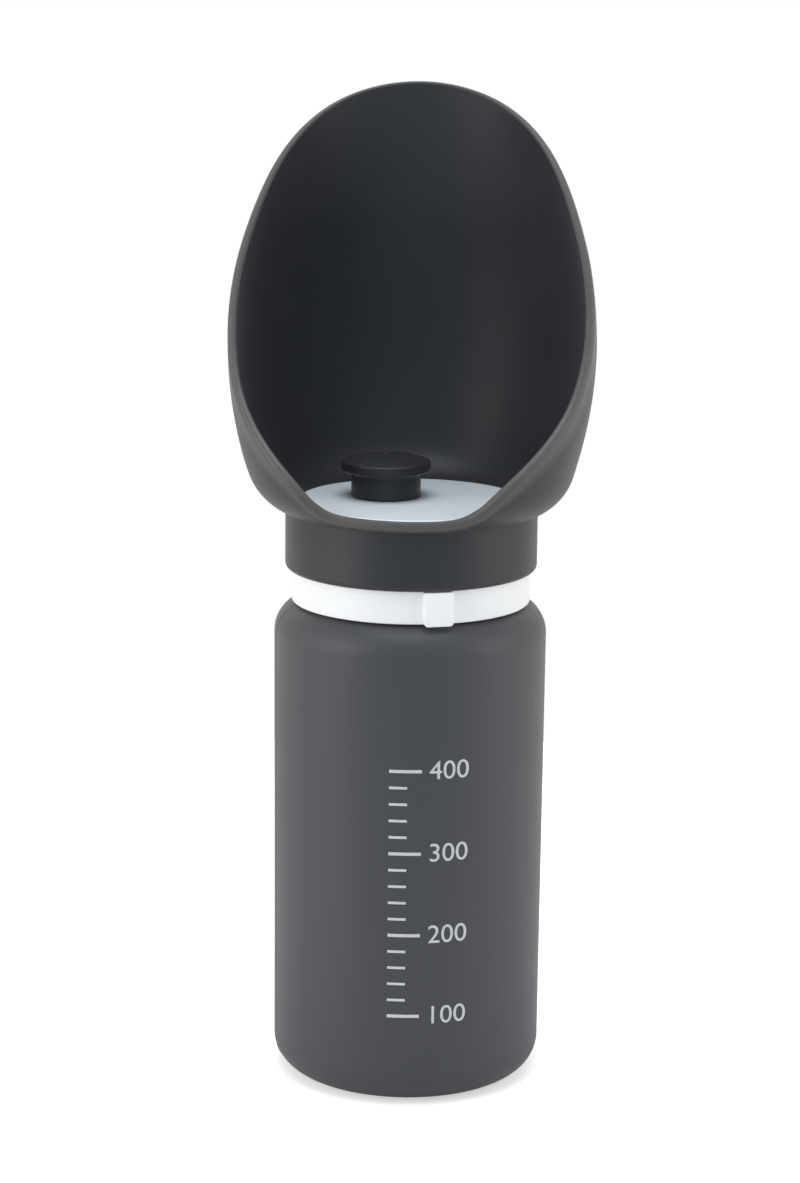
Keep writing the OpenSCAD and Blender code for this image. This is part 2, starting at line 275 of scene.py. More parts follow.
def spin(name, line, turn=0.0, centre=(0, 0), steps=ROUND):
    """Extrude a vertex along a line of radii and heights, then spin the line about an upright axis."""
    axis = Vector((*centre, 0))
    outwards = Vector((sin(turn), -cos(turn), 0))
    places = [axis + outwards * r + Vector((0, 0, z)) for r, z in line]
    if bpy.context.mode != 'OBJECT':
        bpy.ops.object.mode_set(mode='OBJECT')
    bpy.ops.object.select_all(action='DESELECT')
    bpy.ops.mesh.primitive_plane_add(size=MM)
    piece = bpy.context.object
    piece.name = piece.data.name = name
    with editing(piece):
        bpy.ops.mesh.select_all(action='SELECT')
        bpy.ops.mesh.merge(type='CENTER')
        bpy.ops.transform.translate(value=places[0])
        for here, there in zip(places, places[1:]):
            bpy.ops.mesh.extrude_region()
            bpy.ops.transform.translate(value=there - here)
        bpy.ops.mesh.select_all(action='SELECT')
        bpy.ops.mesh.spin(steps=steps, angle=2 * pi, center=axis, axis=(0, 0, 1), dupli=False)
    close_up(piece)
    return piece


def combine(piece, tool, operation):
    """Join or cut with another solid, which is used up."""
    activate(piece)
    change = piece.modifiers.new(operation.lower(), 'BOOLEAN')
    change.object, change.operation, change.solver = tool, operation, 'EXACT'
    bpy.ops.object.modifier_apply(modifier=change.name)
    bpy.data.objects.remove(tool)


def turned_from(co, centre=(0, 0)):
    """Angle of a point round an upright axis, from the front towards +X."""
    return atan2(co.x - centre[0], centre[1] - co.y)


def apart(a, b):
    """How far apart two angles are."""
    return abs((a - b + pi) % (2 * pi) - pi)


def seam(piece, turn, width, height, on_surface, centre=(0, 0)):
    """A mould's seam: the lines of faces at an angle and opposite it, widened and raised in the middle."""
    def on_line(v):
        place = turned_from(v.co, centre)
        return min(apart(place, turn), apart(place, turn + pi)) < 1e-4 and on_surface(v.co)
    with editing(piece, 'EDGE'):
        pick('edges', lambda e: all(on_line(v) for v in e.verts))
        bpy.ops.mesh.bevel(offset=width / 2, segments=2, affect='EDGES')
    with editing(piece):
        pick('verts', on_line)
        bpy.ops.transform.shrink_fatten(value=height)


def thread(name, line, low, turns, shift):
    """A right-hand thread: a closed line of radii and heights on a helix.

    Its ends are led into the wall: at the very end they are shifted by a share of their radius."""
    per_turn, led_in = 60, 6
    steps = round(per_turn * turns)
    bpy.ops.object.select_all(action='DESELECT')
    bpy.ops.mesh.primitive_plane_add(size=MM)
    piece = bpy.context.object
    piece.name = name
    with editing(piece):
        bpy.ops.mesh.select_all(action='SELECT')
        bpy.ops.mesh.merge(type='CENTER')
        at = Vector((0, 0, 0))
        for i, (r, z) in enumerate(line):
            to = Vector((r, 0, low + z))
            if i:
                bpy.ops.mesh.extrude_region()
            bpy.ops.transform.translate(value=to - at)
            at = to
        bpy.ops.mesh.select_all(action='SELECT')
        bpy.ops.mesh.edge_face_add()
        bpy.ops.mesh.delete(type='ONLY_FACE')
    screw = piece.modifiers.new("screw", 'SCREW')
    screw.axis = 'Z'
    screw.angle, screw.screw_offset = 2 * pi * turns, THREAD_PITCH * turns
    screw.steps = screw.render_steps = steps + 1
    activate(piece)
    bpy.ops.object.modifier_apply(modifier=screw.name)
    with editing(piece):
        for end in (0, steps):
            for i in range(led_in):
                ring = abs(end - i)
                at = 2 * pi * ring / per_turn
                height = low + THREAD_PITCH * ring / per_turn
                size = 1 + shift * (1 - i / led_in)
                bpy.ops.mesh.select_all(action='DESELECT')
                pick('verts', lambda v: apart(atan2(v.co.y, v.co.x), at) < 0.01
                     and abs(v.co.z - height) < THREAD_PITCH / 2)
                bpy.ops.transform.resize(value=(size, size, 1), center_override=(0, 0, 0))
        bpy.ops.mesh.select_all(action='DESELECT')
        bpy.ops.mesh.select_mode(type='EDGE')
        bpy.ops.mesh.select_non_manifold()
        bpy.ops.mesh.fill_holes(sides=4)
    close_up(piece)
    return piece


def settle(piece, body, slot, finish, *nodes):
    """Give a piece its finish and its body, and let it stand for its CAD nodes."""
    piece.data.materials.clear()
    piece.data.materials.append(finish)
    activate(piece)
    bpy.ops.object.shade_smooth_by_angle(angle=SMOOTH_BELOW)
    even = piece.modifiers.new("even", 'WEIGHTED_NORMAL')
    even.keep_sharp = True
    bpy.ops.object.modifier_apply(modifier=even.name)
    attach(piece, body)
    if nodes:
        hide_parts(*nodes)


# ---- finishes ----

GLOSS_SPREAD = 0.04      # how far the roughness of a surface strays to either side


def add(tree, kind, inputs=None, **settings):
    """Add a node with its settings. An input is a value, or the output that it is linked to."""
    node = tree.nodes.new(kind)
    for name, value in settings.items():
        setattr(node, name, value)
    for name, value in (inputs or {}).items():
        if isinstance(value, bpy.types.NodeSocket):
            tree.links.new(value, node.inputs[name])
        else:
            node.inputs[name].default_value = value
    return node


def rgba(shade, times=1.0):
    return (*(min(1, c * times) for c in shade), 1)


def moulded(name, shade, roughness, ior, grain, depth, cloud, spread, sheen=0.0, rim=None):
    """A moulded surface: a fine grain of a size and depth, over clouds of tone and gloss of another size.

    A rim is four places along the UV map's V, where a paler tone starts, is whole, starts to fade and has
    gone, and then that tone: a painted highlight, which stands in for the light that a rim catches."""
    surface = bpy.data.materials.new(name)
    surface.use_nodes = True
    tree = surface.node_tree
    tree.nodes.clear()
    place = add(tree, 'ShaderNodeTexCoord').outputs['Object']
    clouds = add(tree, 'ShaderNodeTexNoise',
                 {'Vector': place, 'Scale': 1 / cloud, 'Detail': 3.0, 'Roughness': 0.55}).outputs['Fac']
    grains = add(tree, 'ShaderNodeTexNoise',
                 {'Vector': place, 'Scale': 1 / grain, 'Detail': 2.0, 'Roughness': 0.6}).outputs['Fac']
    # sockets of a colour mix are picked by number: 6 and 7 are its colours, and output 2 is its result
    darker, lighter = rgba(shade, 1 - spread), rgba(shade, 1 + spread)
    tone = add(tree, 'ShaderNodeMix', {'Factor': clouds, 6: darker, 7: lighter}, data_type='RGBA')
    # a rim's paler tone is a painted highlight, standing in for the light that the rim catches
    if rim:
        start, whole, fading, gone, paler = rim
        along = add(tree, 'ShaderNodeSeparateXYZ',
                    {'Vector': add(tree, 'ShaderNodeTexCoord').outputs['UV']}).outputs['Y']
        rise = add(tree, 'ShaderNodeMapRange', {'Value': along, 'From Min': start, 'From Max': whole},
                   interpolation_type='SMOOTHSTEP')
        fall = add(tree, 'ShaderNodeMapRange', {'Value': along, 'From Min': gone, 'From Max': fading},
                   interpolation_type='SMOOTHSTEP')
        near = add(tree, 'ShaderNodeMath', {0: rise.outputs['Result'], 1: fall.outputs['Result']},
                   operation='MULTIPLY')
        tone = add(tree, 'ShaderNodeMix',
                   {'Factor': near.outputs['Value'], 6: tone.outputs[2], 7: rgba(paler)}, data_type='RGBA')
    speckle = add(tree, 'ShaderNodeMapRange', {'Value': grains, 'From Min': 0.3, 'From Max': 0.7,
                                               'To Min': 1 - spread, 'To Max': 1 + spread}).outputs['Result']
    shades = add(tree, 'ShaderNodeVectorMath', {0: tone.outputs[2], 'Scale': speckle}, operation='SCALE')
    gloss = add(tree, 'ShaderNodeMapRange', {'Value': clouds, 'From Min': 0.25, 'From Max': 0.75,
                                             'To Min': roughness - GLOSS_SPREAD,
                                             'To Max': roughness + GLOSS_SPREAD})
    bump = add(tree, 'ShaderNodeBump', {'Height': grains, 'Distance': depth, 'Strength': 1.0})
    shader = add(tree, 'ShaderNodeBsdfPrincipled',
                 {'Base Color': shades.outputs['Vector'], 'Roughness': gloss.outputs['Result'],
                  'Normal': bump.outputs['Normal'], 'IOR': ior})
    if sheen:
        shader.inputs['Sheen Weight'].default_value = sheen
        shader.inputs['Sheen Roughness'].default_value = 0.5
    add(tree, 'ShaderNodeOutputMaterial', {'Surface': shader.outputs['BSDF']})
    return surface


def soft_touch_polyethylene(shade):
    # Blow-moulded polyethylene with a soft-touch coat: matt, with a fine even grain and a veil at its edges.
    # The grain is really about 0.1 mm; it is drawn at 0.45 mm so that it shows.
    return moulded("soft_touch_polyethylene", shade, 0.5, 1.51, 0.45 * MM, 0.012 * MM, 26 * MM, 0.03, 0.12)


def moulded_silicone(shade, rim):
    # Compression-moulded silicone: smoother than the bottle, a little uneven in gloss where hands have been,
    # and paler at its rim, a painted highlight that stands in for the light the rim catches.
    return moulded("moulded_silicone", shade, 0.47, 1.5, 0.6 * MM, 0.008 * MM, 18 * MM, 0.035, 0.08, rim)


def satin_silicone(shade):
    # The stopper's silicone comes from a polished mould, so it is the shiniest of the dark pieces.
    return moulded("satin_silicone", shade, 0.36, 1.41, 0.5 * MM, 0.004 * MM, 9 * MM, 0.02)


def satin_polypropylene(shade):
    # Injection-moulded polypropylene, white all through, with a satin skin.
    return moulded("satin_polypropylene", shade, 0.34, 1.49, 0.5 * MM, 0.003 * MM, 14 * MM, 0.012)


def fine_polypropylene(shade):
    # The plate is of the same plastic, with a smoother, more even skin; its greyer, cooler white is painted
    # shade for the dark bowl round it.
    return moulded("fine_polypropylene", shade, 0.33, 1.49, 0.5 * MM, 0.002 * MM, 12 * MM, 0.006)


def translucent_silicone(shade):
    # Unpigmented silicone of the two seals: milky, with light that comes through its edges.
    surface = moulded("translucent_silicone", shade, 0.4, 1.41, 0.5 * MM, 0.003 * MM, 10 * MM, 0.02)
    shader = next(n for n in surface.node_tree.nodes if n.type == 'BSDF_PRINCIPLED')
    shader.inputs['Subsurface Weight'].default_value = 0.3
    shader.inputs['Subsurface Scale'].default_value = 1.5 * MM
    return surface


def pad_printed_ink(shade):
    # Pad-printed ink: flat, a little worn and thinner in places.
    return moulded("pad_printed_ink", shade, 0.55, 1.5, 0.5 * MM, 0.004 * MM, 4 * MM, 0.06)


# ---- pieces ----

class WATERBOTTLE_OT_bottle(Operator):
    """Spin the bottle's outer and inner wall, raise its seam and wind the thread on its neck"""
    bl_idname = "waterbottle.bottle"
    bl_label = "Bottle"

    def execute(self, context):
        size = context.scene.water_bottle.bottle
        radius = BOTTLE_HIGH.x
        edge, neck_foot, small = 0.5 * MM, 1.0 * MM, 0.35 * MM
        neck, bore = size.neck_radius, size.neck_radius - size.neck_wall
        shoulder = (radius - size.shoulder_round, size.shoulder_height - size.shoulder_round)
        base = (radius - size.taper - size.base_round, size.base_round)
        ring, dip = size.channel_radius, size.channel_depth
        rows = 8
        line = [(0, 0), (ring - small, 0), (ring, small), (ring + small, dip)]
        ring += size.channel_width
        line += [(ring - small, dip), (ring, small), (ring + small, 0)]
        line += arc(base, size.base_round, -pi / 2, 0, 14)
        line += [(radius - size.taper * (1 - k / rows), base[1] + (shoulder[1] - base[1]) * k / rows)
                 for k in range(1, rows)]
        line += arc(shoulder, size.shoulder_round, 0, pi / 2 - 0.02, 14)
        line += [(neck, size.shoulder_height + 0.02 * MM), (neck, size.shoulder_height + neck_foot)]
        line += [(neck, NECK_TOP - edge), (neck - edge, NECK_TOP), (bore + edge, NECK_TOP),
                 (bore, NECK_TOP - edge), (bore, size.shoulder_height - size.wall)]
        line += arc(shoulder, size.shoulder_round - size.wall, pi / 2, 0, 8)
        line += arc(base, size.base_round - size.wall, 0, -pi / 2, 8)
        line += [(0, size.floor)]
        bottle = spin("bottle_body", line, turn=size.seam_angle)

        def on_arc(r, z, centre, radius):
            return abs(((r - centre[0]) ** 2 + (z - centre[1]) ** 2) ** 0.5 - radius) < 0.1 * MM

        def outer_wall(co):
            r = (co.x ** 2 + co.y ** 2) ** 0.5
            if co.z < base[1]:
                return r > base[0] and co.z > MM and on_arc(r, co.z, base, size.base_round)
            if co.z > shoulder[1]:
                return r > shoulder[0] + MM and on_arc(r, co.z, shoulder, size.shoulder_round)
            return r > radius - size.taper - 0.2 * MM
        seam(bottle, size.seam_angle, size.seam_width, size.seam_height, outer_wall)

        foot, tip = neck - THREAD_SUNK, neck + THREAD_DEPTH
        ridge = [(foot, -THREAD_ROOT), (tip, -THREAD_CREST), (tip, THREAD_CREST), (foot, THREAD_ROOT)]
        winding = thread("neck_thread", ridge, NECK_THREAD_LOW, NECK_TURNS, shift=-0.045)
        combine(bottle, winding, 'UNION')
        settle(bottle, "bottle", "bottle_grey",
               soft_touch_polyethylene(context.scene.water_bottle.finish.bottle), "bottle")
        return {'FINISHED'}


class WATERBOTTLE_OT_screw_cap(Operator):
    """Spin the screw cap's skirt and deck, wind the thread inside it and add the lug at its front"""
    bl_idname = "waterbottle.screw_cap"
    bl_label = "Screw cap"

    def execute(self, context):
        size = context.scene.water_bottle.cap
        low = context.scene.water_bottle.bottle.shoulder_height + size.low_gap
        out, inside = size.radius, size.radius - size.wall
        under = DECK_TOP - size.deck
        mouth = SPIGOT_RADIUS + SLIDE_GAP
        edge, corner = 0.5 * MM, 0.25 * MM
        line = [(inside, low + edge), (inside + edge, low)]
        line += arc((out - corner, low + corner), corner, -pi / 2, 0, 4)
        line += arc((out - corner, DECK_TOP - corner), corner, 0, pi / 2, 4)
        line += [(mouth, DECK_TOP), (mouth, under), (inside, under), (inside, low + edge)]
        cap = spin("cap_skirt", line)

        start = NECK_THREAD_LOW - THREAD_ROOT - THREAD_CREST - THREAD_GAP
        foot, tip = inside + THREAD_SUNK, inside - THREAD_DEPTH
        ridge = [(tip, -THREAD_CREST), (foot, -THREAD_ROOT), (foot, THREAD_ROOT), (tip, THREAD_CREST)]
        winding = thread("cap_thread", ridge, start, CAP_TURNS, shift=0.04)
        combine(cap, winding, 'UNION')
        combine(cap, self.lug(size, low), 'UNION')
        settle(cap, "cap", "cap_white",
               satin_polypropylene(context.scene.water_bottle.finish.cap), "screw_cap")
        return {'FINISHED'}

    def lug(self, size, low):
        """The lug: a block with rounded lower corners and a long bevel at its top, turned to its place."""
        foot, out = size.radius - size.wall / 2, size.radius + size.lug_out
        bottom, top = CAP_LOW.z + 0.2 * MM, BOWL_LOW.z + 0.5 * MM
        bevel_top = size.radius + 1.3 * MM
        corner, edge, same = 1.1 * MM, 0.3 * MM, 0.001 * MM
        bpy.ops.object.select_all(action='DESELECT')
        bpy.ops.mesh.primitive_cube_add(size=1, location=(0, -(foot + out) / 2, (bottom + top) / 2),
                                        scale=(size.lug_width, out - foot, top - bottom))
        lug = bpy.context.object
        lug.name = "cap_lug"
        bpy.ops.object.transform_apply(location=True, rotation=True, scale=True)
        with editing(lug):
            bpy.ops.mesh.select_all(action='SELECT')
            bpy.ops.mesh.bisect(plane_co=(0, 0, top - size.lug_bevel), plane_no=(0, 0, 1))
            bpy.ops.mesh.select_all(action='DESELECT')
            pick('verts', lambda v: v.co.z > top - same and v.co.y < -foot - same)
            bpy.ops.transform.translate(value=(0, out - bevel_top, 0))
            bpy.ops.mesh.select_mode(type='EDGE')
            bpy.ops.mesh.select_all(action='DESELECT')
            pick('edges', lambda e: all(v.co.z < bottom + same for v in e.verts)
                 and abs(e.verts[0].co.x - e.verts[1].co.x) < same)
            bpy.ops.mesh.bevel(offset=corner, segments=6, affect='EDGES')
            bpy.ops.mesh.select_all(action='DESELECT')
            pick('edges', lambda e: any(v.co.y < -foot - same for v in e.verts) and len(e.link_faces) == 2
                 and e.calc_face_angle() > radians(25))
            bpy.ops.mesh.bevel(offset=edge, segments=3, affect='EDGES')
        lug.rotation_euler.z = size.lug_angle
        activate(lug)
        bpy.ops.object.transform_apply(location=True, rotation=True, scale=True)
        return lug


class WATERBOTTLE_OT_outlet_plate(Operator):
    """Spin the white plate with its spigot, and bore its port"""
    bl_idname = "waterbottle.outlet_plate"
    bl_label = "Outlet plate"

    def execute(self, context):
        size = context.scene.water_bottle.cap
        rim_under, web_under = PLATE_TOP - size.plate_rim, PLATE_TOP - size.plate
        spigot, edge = SPIGOT_RADIUS, 0.5 * MM
        bead, bead_height = spigot + 0.55 * MM, 0.6 * MM
        bead_top = DECK_TOP - size.deck - SEAT_GAP
        spigot_low = NECK_TOP - 0.1 * MM
        inside = spigot - size.spigot_wall
        line = [(0, web_under), (inside, web_under), (inside, spigot_low), (spigot - edge, spigot_low),
                (bead, bead_top - bead_height), (bead, bead_top), (spigot, bead_top), (spigot, rim_under),
                (PLATE_RADIUS, rim_under)]
        line += arc((PLATE_RADIUS - edge, PLATE_TOP - edge), edge, 0, pi / 2, 5)
        line += [(PLATE_RADIUS - 2 * edge, PLATE_TOP), (0, PLATE_TOP)]
        plate = spin("plate_disc", line)
        port, wall, flare, port_round = size.port_radius, 2 * MM, 0.4 * MM, 96
        tube_out, tube_low, tube_top = port + wall, PLATE_LOW.z, web_under + 0.5 * MM
        tube = spin("port_tube", [(0, tube_low), (tube_out - edge, tube_low), (tube_out, tube_low + edge),
                                  (tube_out, tube_top), (0, tube_top)], centre=PORT, steps=port_round)
        combine(plate, tube, 'UNION')
        above = PLATE_TOP + MM - flare
        bore = spin("port_bore", [(0, tube_low - MM), (port + MM, tube_low - MM), (port, tube_low + flare),
                                  (port, PLATE_TOP - flare), (port + MM, above), (0, above)],
                    centre=PORT, steps=port_round)
        combine(plate, bore, 'DIFFERENCE')
        # the spin and the bore leave slivers on the flat top, which become one face
        with editing(plate, 'FACE'):
            pick('faces', lambda f: f.calc_center_median().z > PLATE_TOP - 0.001 * MM
                 and f.calc_center_median().xy.length < PLATE_RADIUS - 2 * edge)
            bpy.ops.mesh.dissolve_limited(angle_limit=radians(0.5))
        settle(plate, "cap", "plate_white",
               fine_polypropylene(context.scene.water_bottle.finish.plate), "outlet_plate")
        return {'FINISHED'}


class WATERBOTTLE_OT_seals(Operator):
    """Give the two seals, which stay as the frame has them, their finish"""
    bl_idname = "waterbottle.seals"
    bl_label = "Seals"

    def execute(self, context):
        finish = translucent_silicone(context.scene.water_bottle.finish.seal)
        for name in ("cap_seal", "plate_seal"):
            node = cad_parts[name]
            for slot in node.material_slots:
                slot.material = finish
        return {'FINISHED'}


class WATERBOTTLE_OT_stopper(Operator):
    """Spin the stopper, with its foot, flange, crown and hollow ribbed stem, and raise its seam"""
    bl_idname = "waterbottle.stopper"
    bl_label = "Stopper"

    def execute(self, context):
        whole = context.scene.water_bottle
        size = whole.stopper
        foot_z = PLATE_TOP + SEAT_GAP
        flange = (STOPPER_HIGH.x - STOPPER_LOW.x) / 2
        foot = flange - size.foot_step
        flange_z = foot_z + size.foot_height
        flare, under_round, over_round = 1.2 * MM, 0.5 * MM, 0.6 * MM
        flange_top = STOPPER_HIGH.z - size.crown
        small = 0.25 * MM
        stem = whole.cap.port_radius - SLIDE_GAP
        core, hollow = stem - 0.3 * MM, stem - size.stem_wall
        low, reach = STOPPER_LOW.z, foot_z - STOPPER_LOW.z
        lead, lead_in = 1.5 * MM, 0.7 * MM
        rib, ribs_at = 1.4 * MM, (0.2, 0.6)
        crown = flange - over_round
        curve = (crown * crown + size.crown ** 2) / (2 * size.crown)
        spread = asin(crown / curve)
        gate, gate_depth, gate_slope, pip_depth = size.gate, 0.22 * MM, 0.15 * MM, 0.05 * MM
        line = [(0, foot_z + size.foot_height - MM), (hollow, foot_z + size.foot_height - MM),
                (hollow, low), (core - lead_in, low), (core, low + lead)]
        for part in ribs_at:
            z = low + part * reach
            line += [(core, z), (stem, z + rib / 3), (stem, z + 2 * rib / 3), (core, z + rib)]
        line += [(core, foot_z), (foot - small, foot_z), (foot, foot_z + small)]
        line += [(foot, foot_z + size.foot_height * k / 4) for k in (1, 2, 3)]
        line += arc((foot + flare, flange_z), flare, pi, radians(100), 6)
        line += arc((flange - under_round, flange_z + flare + under_round), under_round, radians(-80), 0, 7)
        line += arc((crown, flange_top - over_round), over_round, 0, radians(80), 7)
        line += [p for p in arc((0, flange_top + size.crown - curve), curve, pi / 2 - spread, pi / 2, 16)
                 if p[0] > gate + 2 * gate_slope]
        top = flange_top + size.crown
        line += [(gate + gate_slope, top - 0.01 * MM), (gate, top - gate_depth),
                 (gate * 0.55, top - gate_depth), (gate * 0.4, top - pip_depth), (0, top - pip_depth)]
        stopper = spin("stopper_plug", line, turn=size.seam_angle, centre=PORT, steps=144)

        def outside(co):
            r = ((co.x - PORT[0]) ** 2 + (co.y - PORT[1]) ** 2) ** 0.5
            if r < gate + 0.5 * MM or co.z < foot_z + 2 * small:
                return False
            return r > foot - 0.1 * MM or co.z > flange_top
        seam(stopper, size.seam_angle, size.seam_width, size.seam_height, outside, centre=PORT)
        settle(stopper, "stopper", "stopper_silicone", satin_silicone(whole.finish.stopper), "stopper")
        return {'FINISHED'}


class WATERBOTTLE_OT_bowl(Operator):
    """Spin a plain tube, and move its rings onto the scoop bowl's collar, walls, rim and floor"""
    bl_idname = "waterbottle.bowl"
    bl_label = "Bowl"

    def plan(self, size):
        """Work out the curves of the wall, and how far each one reaches along its outside."""
        cap = bpy.context.scene.water_bottle.cap
        self.size = size
        self.cap_fit = cap.radius + SLIDE_GAP
        self.collar = self.cap_fit + size.collar_wall
        self.floor_under = DECK_TOP + SEAT_GAP
        self.floor = self.floor_under + size.wall
        crease, start = DECK_TOP + 0.2 * MM, size.corner_start
        self.corner = (self.collar - size.corner_round * cos(start), crease + size.corner_round * sin(start))
        self.belly = (self.collar + size.belly_out, self.floor + size.belly_height)
        x, z = self.belly[0] - self.corner[0], self.belly[1] - self.corner[1]
        self.lower_radius = (x * x + z * z - size.corner_round ** 2) / (2 * (x - size.corner_round))
        self.lower_turn = asin(z / (self.lower_radius - size.corner_round))
        self.lower = (self.belly[0] - self.lower_radius, self.belly[1])
        self.upper = (self.belly[0] - size.upper_radius, self.belly[1])
        corner_end = size.corner_round * (start - self.lower_turn)
        lower_end = corner_end + self.lower_radius * self.lower_turn
        self.ends = (corner_end, lower_end, lower_end + size.upper_radius * size.taper)

    def wall(self, deep, along):
        """Radius and height of the wall, at a way along its outside and a depth into it."""
        size = self.size
        if along < self.ends[0]:
            centre, radius = self.corner, size.corner_round
            at = along / radius - size.corner_start
        elif along < self.ends[1]:
            centre, radius = self.lower, self.lower_radius
            at = (along - self.ends[0]) / radius - self.lower_turn
        else:
            centre, radius = self.upper, size.upper_radius
            at = min((along - self.ends[1]) / radius, size.taper)
        run = max(0, along - self.ends[2])
        return (centre[0] + (radius - deep) * cos(at) - run * sin(at),
                centre[1] + (radius - deep) * sin(at) + run * cos(at))

    def mouth_at(self, height):
        """How far back the mouth lies at a height: a smooth curve through its points."""
        last = len(MOUTH) - 2
        i = min(max(sum(height > z * MM for z, _ in MOUTH) - 1, 0), last)
        (z0, y0), (z1, y1) = MOUTH[i], MOUTH[i + 1]

        def slope(k):
            low, high = MOUTH[max(k - 1, 0)], MOUTH[min(k + 1, last + 1)]
            return (high[1] - low[1]) / (high[0] - low[0])
        span = z1 - z0
        t = min(max((height / MM - z0) / span, 0), 1)
        return MM * ((1 + 2 * t) * (1 - t) ** 2 * y0 + t * (1 - t) ** 2 * span * slope(i)
                     + t * t * (3 - 2 * t) * y1 - t * t * (1 - t) * span * slope(i + 1))

    def past_mouth(self, turn, along):
        """How far a point of the outer wall is past the mouth, which leans sideways a little."""
        size = self.size
        r, z = self.wall(0, along)
        x, y = r * sin(turn), -r * cos(turn)
        z = x * sin(size.lean) + (z - self.belly[1]) * cos(size.lean) + self.belly[1]
        ahead = self.mouth_at(z) - y
        over = z - self.floor + size.lip_drop - tan(size.lip_slope) * (y + self.collar)
        blend = max(size.lip_round - abs(ahead - over), 0) / size.lip_round
        return min(ahead, over) - blend * blend * size.lip_round / 4

    def top(self, turn):
        """How far along its outside the wall reaches at an angle."""
        step, halvings = MM, 24
        low = next(i * step for i in range(200) if self.past_mouth(turn, (i + 1) * step) > 0)
        high = low + step
        for _ in range(halvings):
            middle = (low + high) / 2
            low, high = (low, middle) if self.past_mouth(turn, middle) > 0 else (middle, high)
        return low

    def rings(self):
        """Radius and height of each ring, from the collar's foot up outside, over the rim and down."""
        size, steps = self.size, BOWL_ROUND
        wall, outer, inner = size.wall, size.rim_outer, size.rim_inner
        foot = BOWL_LOW.z + size.collar_lift
        tops = [self.top(2 * pi * k / steps) for k in range(steps)]
        slants = []
        for k, top in enumerate(tops):
            rise = (tops[(k + 1) % steps] - tops[k - 1]) / (4 * pi / steps * self.wall(0, top)[0])
            slants.append(min(3, (1 + rise * rise) ** 0.5))

        def level(place):
            return [place] * steps

        def ring(deep, inset, part=1.0, start=0.0):
            return [self.wall(deep, start + (top - inset * slant - start) * part)
                    for top, slant in zip(tops, slants)]
        rows = [level((self.cap_fit, foot))]
        rows += [level(p) for p in arc((self.collar - size.collar_round, foot + size.collar_round),
                                       size.collar_round, -pi / 2, 0, 7)]
        rows += [ring(0, outer, i / OUTSIDE_RINGS) for i in range(OUTSIDE_RINGS)]
        rim_start = len(rows)
        for i in range(RIM_OUT_RINGS):
            at = pi / 2 * i / (RIM_OUT_RINGS - 1)
            rows.append(ring(outer * (1 - cos(at)), outer * (1 - sin(at))))
        for i in range(RIM_IN_RINGS):
            at = pi / 2 * i / (RIM_IN_RINGS - 1)
            rows.append(ring(wall - inner * (1 - sin(at)), inner * (1 - cos(at))))
        rim_end = len(rows)
        # the rings where the rim's paler tone, a painted highlight, starts, is whole, starts to fade and has
        # faded
        self.rim = (rim_start - 12, rim_start - 1, rim_end - 9, rim_end - 1)
        start = size.corner_round * (size.corner_start
                                     - asin((self.corner[1] - self.floor) / (size.corner_round - wall)))
        rows += [ring(wall, inner, 1 - i / INSIDE_RINGS, start) for i in range(1, INSIDE_RINGS + 1)]
        lip_top, lip_in, rebate = self.floor_under + 1.55 * MM, 29.5 * MM, PLATE_RADIUS + 0.3 * MM
        rows += [level(p) for p in ((rebate, self.floor), (rebate, lip_top), (lip_in, lip_top),
                                    (lip_in, self.floor_under), (self.cap_fit, self.floor_under),
                                    (self.cap_fit, foot))]
        return rows

    def execute(self, context):
        size = context.scene.water_bottle.bowl
        self.plan(size)
        rows = self.rings()
        tube_radius, sway_rise = 10 * MM, 12 * MM
        # ring i of the tube is i mm up, which says which row it belongs to
        bowl = spin("bowl_scoop", [(tube_radius, i * MM) for i in range(len(rows))], steps=BOWL_ROUND)
        with editing(bowl):
            work = bmesh.from_edit_mesh(bowl.data)
            chart = work.loops.layers.uv.verify()
            for corner in (corner for face in work.faces for corner in face.loops):
                around = turned_from(corner.vert.co) / (2 * pi) % 1
                if turned_from(corner.face.calc_center_median()) / (2 * pi) % 1 - around > 0.5:
                    around += 1
                corner[chart].uv = (around, corner.vert.co.z / MM / len(rows))
            for v in work.verts:
                step = round(turned_from(v.co) * BOWL_ROUND / (2 * pi)) % BOWL_ROUND
                r, z = rows[round(v.co.z / MM)][step]
                turn = 2 * pi * step / BOWL_ROUND + size.turn
                over = max(0, z - self.belly[1]) / (BOWL_HIGH.z - self.belly[1])
                sway = (size.belly_sway * min(1, max(0, z - self.floor) / sway_rise)
                        + (size.top_sway - size.belly_sway) * over)
                v.co = (r * sin(turn) - sway, -r * cos(turn), z)
            bmesh.update_edit_mesh(bowl.data)
        close_up(bowl)
        finish = context.scene.water_bottle.finish
        # the rim's paler tone is a painted highlight, standing in for the light that the rim catches
        rim = (*(i / len(rows) for i in self.rim), finish.bowl_rim_highlight)
        settle(bowl, "bowl", "bowl_silicone", moulded_silicone(finish.bowl, rim), "bowl")
        return {'FINISHED'}


